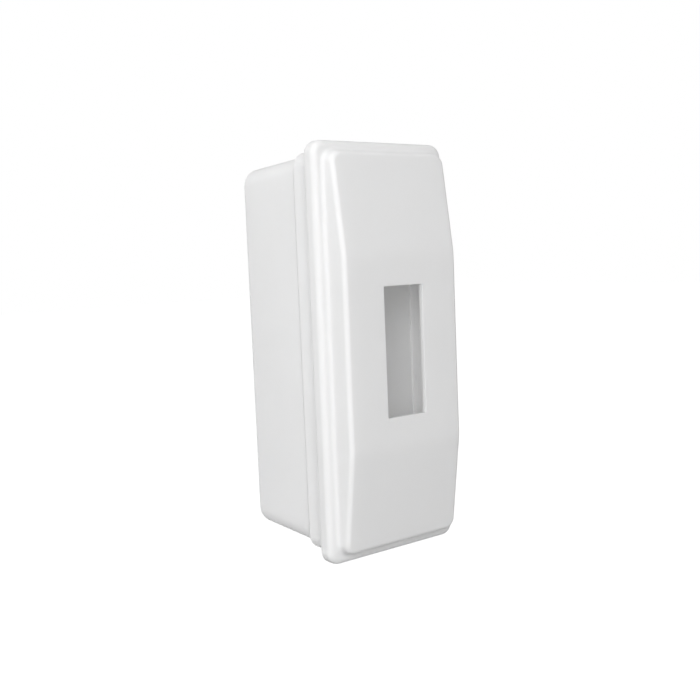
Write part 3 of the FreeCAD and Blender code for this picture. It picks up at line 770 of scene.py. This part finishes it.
def make_end_knockouts():
    tilt = math.atan(BOX_TAPER / RIM_BACK)
    half = box_half(END_KNOCKOUT_STAND)[1]
    for name, end in (("knockout_top", 1), ("knockout_bottom", -1)):
        blank = knockout_blank(name + "_blank", END_KNOCKOUT_R)
        turn = Matrix.Rotation(-tilt, 4, "X") if end > 0 else Matrix.Rotation(math.pi + tilt, 4, "X")
        shift = Matrix.Translation(Vector((0, -END_KNOCKOUT_STAND, end * (half - 1.4))) * MM)
        blank.data.transform(shift @ turn)
        finish_piece(blank, box_plastic, "box", "box_plastic", name)


def make_back_knockouts():
    for name, end in (("knockout_back_upper", 1), ("knockout_back_lower", -1)):
        blank = knockout_blank(name + "_blank", BACK_KNOCKOUT_R)
        turn = Matrix.Rotation(-math.pi / 2, 4, "X")
        shift = Matrix.Translation(Vector((0, -1.4, end * BACK_KNOCKOUT_Z)) * MM)
        blank.data.transform(shift @ turn)
        finish_piece(blank, box_plastic, "box", "box_plastic", name)


# ---------------------------------------------------------------- rail, terminals and screws


def bent(points, radius, steps=4):
    """Rounds the corners of an outline; radius is one number for each point, 0 for a sharp one."""
    rounded = []
    count = len(points)
    for i, (point, r) in enumerate(zip(points, radius)):
        here = Vector(point)
        before = (Vector(points[i - 1]) - here).normalized()
        after = (Vector(points[(i + 1) % count]) - here).normalized()
        if r <= 0:
            rounded.append(tuple(here))
            continue
        centre = here + (before + after) * r
        for k in range(steps + 1):
            angle = math.pi / 2 * k / steps
            spot = centre - after * r * math.cos(angle) - before * r * math.sin(angle)
            rounded.append(tuple(spot))
    return rounded


def make_din_rail():
    """A short length of top-hat rail, bent from 1 mm sheet, with two screw holes."""
    sheet = 1.0
    half = extent("din_rail", 2) / 2
    web = RAIL_SEAT + sheet
    flange = RAIL_FRONT - sheet
    inner = 12.5
    outer = inner + sheet
    upper = [
        (RAIL_SEAT, outer, 1.4), (flange, outer, 0.4), (flange, half, 0.2), (RAIL_FRONT, half, 0.2),
        (RAIL_FRONT, inner, 1.4), (web, inner, 0.4),
    ]
    lower = [(stand, -z, r) for stand, z, r in reversed(upper)]
    corners = upper + lower
    outline = bent([(c[0], c[1]) for c in corners], [c[2] for c in corners])
    length = extent("din_rail", 0) / 2
    rail = extrude_outline("din_rail_strip", outline, -length, length)
    spots = [(side * RAIL_SCREW_X, 0.0, 0.0) for side in (-1, 1)]
    holes = [rod("hole", 2.0, 4.0, 9.0, spot, segments=32) for spot in spots]
    combine(rail, holes, "DIFFERENCE")
    finish_piece(rail, zinc, "box", "zinc_steel", "din_rail")


def carrier_plate(name, half_w, half_h, corner, low, high):
    skin = Skin([-15.0, -10.0, -5.0, 0.0, 5.0, 10.0, 15.0], [-2.0, 0.0, 2.0])
    skin.add_ring(half_w - 0.2, half_h - 0.2, corner - 0.2, low)
    start = skin.last
    skin.add_grid(half_w - corner, half_h - corner, low)
    skin.last = start
    skin.add_ring(half_w, half_h, corner, low + 0.2)
    for i in range(0, 5):
        angle = math.pi / 2 * i / 4
        inset = 0.4 * (1 - math.cos(angle))
        skin.add_ring(half_w - inset, half_h - inset, corner - inset, high - 0.4 * (1 - math.sin(angle)))
    skin.add_grid(half_w - corner, half_h - corner, high)
    return skin.make(name)


def make_carrier(kind, end, material):
    """The coloured base that a terminal bar sits on, with a low wall at each end of the bar."""
    node = f"{kind}_bar_carrier"
    half_w = extent(node, 0) / 2
    half_h = extent(node, 2) / 2
    plate = carrier_plate(f"{kind}_carrier_base", half_w, half_h, 1.5, CARRIER_SEAT, BAR_BACK)
    low = BAR_BACK - 0.6
    walls = []
    for side in (-1, 1):
        size = (1.0, CARRIER_TOP - low, 2 * half_h - 1.0)
        walls.append(block("wall", size, (side * 12.9, (low + CARRIER_TOP) / 2, 0.0), 0.2, 3))
    combine(plate, walls, "UNION")
    spots = [(side * CARRIER_SCREW_X, 0.0, 0.0) for side in (-1, 1)]
    holes = [rod("hole", 1.5, 3.0, 10.0, spot, segments=32) for spot in spots]
    combine(plate, holes, "DIFFERENCE")
    plate.data.transform(Matrix.Translation((0, 0, end * TERMINAL_Z * MM)))
    finish_piece(plate, material, "box", f"{kind}_carrier_plastic", node)


def make_bar(kind, end):
    """A milled brass bar with three wire holes and three threaded holes for the clamp screws."""
    node = f"{kind}_bar"
    size = (extent(node, 0), BAR_FRONT - BAR_BACK, extent(node, 2))
    bar = block(f"{kind}_brass", size, (0.0, (BAR_BACK + BAR_FRONT) / 2, 0.0), 0.4, 3)
    cutters = []
    for column in (-1, 0, 1):
        x = column * WIRE_PITCH
        cutters.append(rod("wire", WIRE_HOLE_R, -6.0, 6.0, (x, WIRE_STAND, 0.0), "up", 40))
        mouth = [(0, WIRE_STAND), (CLAMP_HOLE_R, WIRE_STAND), (CLAMP_HOLE_R, BAR_FRONT - 0.25)]
        mouth += [(2.4, BAR_FRONT + 0.1), (0, BAR_FRONT + 0.1)]
        cutters.append(lathe("thread", mouth, (x, 0.0, 0.0), 40))
    combine(bar, cutters, "DIFFERENCE")
    bar.data.transform(Matrix.Translation((0, 0, end * TERMINAL_Z * MM)))
    finish_piece(bar, brass, "box", "terminal_brass", node)


def slotted_screw(name, shank_r, head_r, tip, under, top, x, z, pitch, slot_turn):
    """A screw that points into the wall: a cone point, a V thread, a pan head with a slot."""
    depth = min(0.28, shank_r * 0.16)
    steps = int((under - tip - 0.6) / pitch * 8)
    profile = [(0, tip), (shank_r * 0.55, tip + 0.02)]
    profile += [(shank_r, tip + 0.45 + (under - tip - 0.5) * i / steps) for i in range(steps + 1)]
    shank = lathe(name, profile + [(0, under)], (x, 0.0, z), 32, wave=threaded(pitch, depth, tip + 0.4))
    crown = 0.45 * (top - under)
    neck = head_r - 0.25
    head = [(0, under - 0.15), (neck, under - 0.15), (neck, under), (head_r - 0.08, under)]
    head += [(head_r, under + 0.12), (head_r, top - crown)]
    for i in range(1, 6):
        angle = math.pi / 2 * i / 5
        head.append((head_r - (head_r * 0.45) * (1 - math.cos(angle)), top - crown * (1 - math.sin(angle))))
    head.append((0, top))
    cap = lathe("head", head, (x, 0.0, z), 48)
    slot = block("slot", (2.4 * head_r, 1.4, 0.9), (0.0, top + 0.7 - 1.0, 0.0), 0.0)
    slot.data.transform(Matrix.Rotation(math.radians(slot_turn), 4, "Y"))
    slot.data.transform(Matrix.Translation(Vector((x, 0, z)) * MM))
    combine(shank, [cap], "UNION")
    combine(shank, [slot], "DIFFERENCE")
    return shank


def threaded(pitch, depth, start):
    """A V-shaped thread, one turn in each pitch, that begins past the screw's point."""

    def wave(distance, angle):
        if distance <= start:
            return 0.0
        turn = (distance / pitch - angle / (2 * math.pi)) % 1.0
        return -depth * abs(2 * turn - 1)

    return wave


def make_rail_screws():
    for side, x, turn in (("left", -RAIL_SCREW_X, 35.0), ("right", RAIL_SCREW_X, -52.0)):
        node = f"rail_screw_{side}"
        tip, top = stand_range(node)
        under = RAIL_SEAT + 1.0
        screw = slotted_screw(node + "_metal", 1.7, 3.3, tip + 0.05, under, top, x, 0.0, 0.9, turn)
        finish_piece(screw, screw_zinc, "box", "screw_steel", node)


def make_carrier_screws(kind, end):
    for side, x, turn in (("left", -CARRIER_SCREW_X, 70.0), ("right", CARRIER_SCREW_X, 12.0)):
        node = f"{kind}_carrier_screw_{side}"
        tip, top = stand_range(node)
        screw = slotted_screw(
            node + "_metal", 1.36, 2.2, tip + 0.05, BAR_BACK, top, x, end * TERMINAL_Z, 0.8, turn
        )
        finish_piece(screw, screw_zinc, "box", "screw_steel", node)


def make_clamp_screws(kind, end):
    for side, column, turn in (("left", -1, 15.0), ("middle", 0, -28.0), ("right", 1, 62.0)):
        node = f"{kind}_clamp_screw_{side}"
        tip, top = stand_range(node)
        under = top - 2.2
        x = column * WIRE_PITCH
        screw = slotted_screw(node + "_metal", 1.98, 3.2, tip, under, top, x, end * TERMINAL_Z, 0.7, turn)
        finish_piece(screw, yellow_zinc, f"{kind}_clamp_{side}", "clamp_screw_steel", node)


make_cover()
make_box()
make_end_knockouts()
make_back_knockouts()
make_din_rail()
make_rail_screws()
for kind, end, plastic in (("earth", 1, earth_plastic), ("neutral", -1, neutral_plastic)):
    make_carrier(kind, end, plastic)
    make_bar(kind, end)
    make_carrier_screws(kind, end)
    make_clamp_screws(kind, end)

# ---------------------------------------------------------------- stage, light and camera

VIEW_AZIMUTH = math.radians(-39.35)
VIEW_ELEVATION = math.radians(5.32)
VIEW_ROLL = math.radians(-2.35)
VIEW_DISTANCE = 360.6
VIEW_TARGET = Vector((-15.94, -50.26, 1.18))
LENS = 53.01
GLOW_BELOW = 0.26
GLOW_ABOVE = 0.52


def direction(azimuth, elevation):
    """The unit vector from the object towards an azimuth and elevation, in radians."""
    level = math.cos(elevation)
    return Vector((math.sin(azimuth) * level, -math.cos(azimuth) * level, math.sin(elevation)))


def make_camera():
    back = direction(VIEW_AZIMUTH, VIEW_ELEVATION)
    right = Vector((math.cos(VIEW_AZIMUTH), math.sin(VIEW_AZIMUTH), 0))
    up = back.cross(right)
    across = right * math.cos(VIEW_ROLL) + up * math.sin(VIEW_ROLL)
    upward = up * math.cos(VIEW_ROLL) - right * math.sin(VIEW_ROLL)
    turn = Matrix((across, upward, back)).transposed().to_4x4()
    place = Matrix.Translation((VIEW_TARGET + back * VIEW_DISTANCE) * MM)
    data = bpy.data.cameras.new("camera")
    data.lens = LENS
    data.sensor_width = 36.0
    data.clip_start = 0.01
    camera = bpy.data.objects.new("camera", data)
    camera.matrix_world = place @ turn
    bpy.context.scene.collection.objects.link(camera)
    bpy.context.scene.camera = camera


def make_softbox(name, azimuth, elevation, distance, size, power):
    """A square area light that looks at the middle of the object. The angles are in degrees, the
    distance and the size in metres and the power in watts."""
    data = bpy.data.lights.new(name, "AREA")
    data.shape = "SQUARE"
    data.size = size
    data.energy = power
    light = bpy.data.objects.new(name, data)
    aim = Vector((0, -35, 0)) * MM
    way = direction(math.radians(azimuth), math.radians(elevation))
    light.location = aim + way * distance
    light.rotation_euler = way.to_track_quat("Z", "Y").to_euler()
    bpy.context.scene.collection.objects.link(light)


def make_world():
    """A white surround, dimmer towards the floor, and plain white where the camera sees it."""
    world = bpy.data.worlds.new("surround")
    bpy.context.scene.world = world
    world.use_nodes = True
    tree = world.node_tree
    tree.nodes.clear()
    out = tree.nodes.new("ShaderNodeOutputWorld")
    mix = tree.nodes.new("ShaderNodeMixShader")
    path = tree.nodes.new("ShaderNodeLightPath")
    seen = tree.nodes.new("ShaderNodeBackground")
    glow = tree.nodes.new("ShaderNodeBackground")
    where = tree.nodes.new("ShaderNodeTexCoord")
    split = tree.nodes.new("ShaderNodeSeparateXYZ")
    span = tree.nodes.new("ShaderNodeMapRange")
    span.inputs["From Min"].default_value = -1.0
    span.inputs["From Max"].default_value = 1.0
    span.inputs["To Min"].default_value = GLOW_BELOW
    span.inputs["To Max"].default_value = GLOW_ABOVE
    tree.links.new(where.outputs["Generated"], split.inputs["Vector"])
    tree.links.new(split.outputs["Z"], span.inputs["Value"])
    tree.links.new(span.outputs["Result"], glow.inputs["Strength"])
    tree.links.new(path.outputs["Is Camera Ray"], mix.inputs["Fac"])
    tree.links.new(glow.outputs["Background"], mix.inputs[1])
    tree.links.new(seen.outputs["Background"], mix.inputs[2])
    tree.links.new(mix.outputs["Shader"], out.inputs["Surface"])
    for node in (seen, glow):
        node.inputs["Color"].default_value = (1, 1, 1, 1)
    seen.inputs["Strength"].default_value = 1.0


def make_floor():
    """A plain pale floor, well below the object, which hangs on a wall."""
    bm = bmesh.new()
    bmesh.ops.create_grid(bm, x_segments=4, y_segments=4, size=8.0)
    floor = mesh_object("floor", bm)
    floor.location.z = -0.35
    material, tree, shader = new_material("pale_floor")
    tree.links.new(ramp(tree, noise(tree, coordinates(tree), 3.0), 0.88, 0.92), shader.inputs["Base Color"])
    shader.inputs["Roughness"].default_value = 0.9
    shader.inputs["Emission Color"].default_value = (1, 1, 1, 1)
    shader.inputs["Emission Strength"].default_value = 0.6
    floor.data.materials.append(material)
    floor.visible_diffuse = False


make_camera()
make_world()
make_floor()
make_softbox("key", -40.0, 16.0, 1.1, 0.75, 10.8)
make_softbox("side", -84.0, 34.0, 0.5, 0.35, 0.78)
bpy.context.scene.view_settings.view_transform = "Standard"
